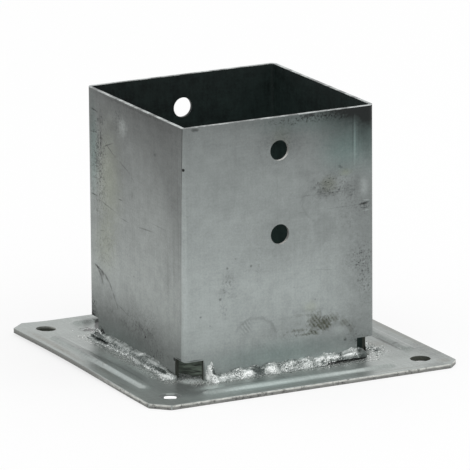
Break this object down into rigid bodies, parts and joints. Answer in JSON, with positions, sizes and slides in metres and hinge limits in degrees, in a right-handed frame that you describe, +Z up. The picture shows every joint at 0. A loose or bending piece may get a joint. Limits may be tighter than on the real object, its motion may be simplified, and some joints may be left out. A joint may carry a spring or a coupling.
{
  "type": "timber post base",
  "caption": "Bolt-down square steel socket for a timber post: folded sleeve with cross-bolt holes, fillet welded to a ribbed base plate with anchor holes.",
  "frame": {"origin": "centre of the base plate's underside, on the axis of the sleeve", "axes": "+Z up along the post; +Y away from the viewer, through the walls with the cross-bolt holes; +X to the right, through the plain walls"},
  "size_m": [0.2, 0.2, 0.154],
  "materials": {
    "galvanised_sheet": "zinc-coated sheet, satin, grained along the rolling direction",
    "galvanised_plate": "zinc-coated pressed plate, satin",
    "weld_metal": "bare rippled weld metal, bright with brown heat stain"
  },
  "bodies": {
    "root": {"base_plate": "galvanised_plate", "post_sleeve": "galvanised_sheet", "corner_seam_weld": "galvanised_sheet", "weld_front": "weld_metal", "weld_left": "weld_metal", "weld_back": "weld_metal", "weld_right": "weld_metal"}
  },
  "joints": []
}
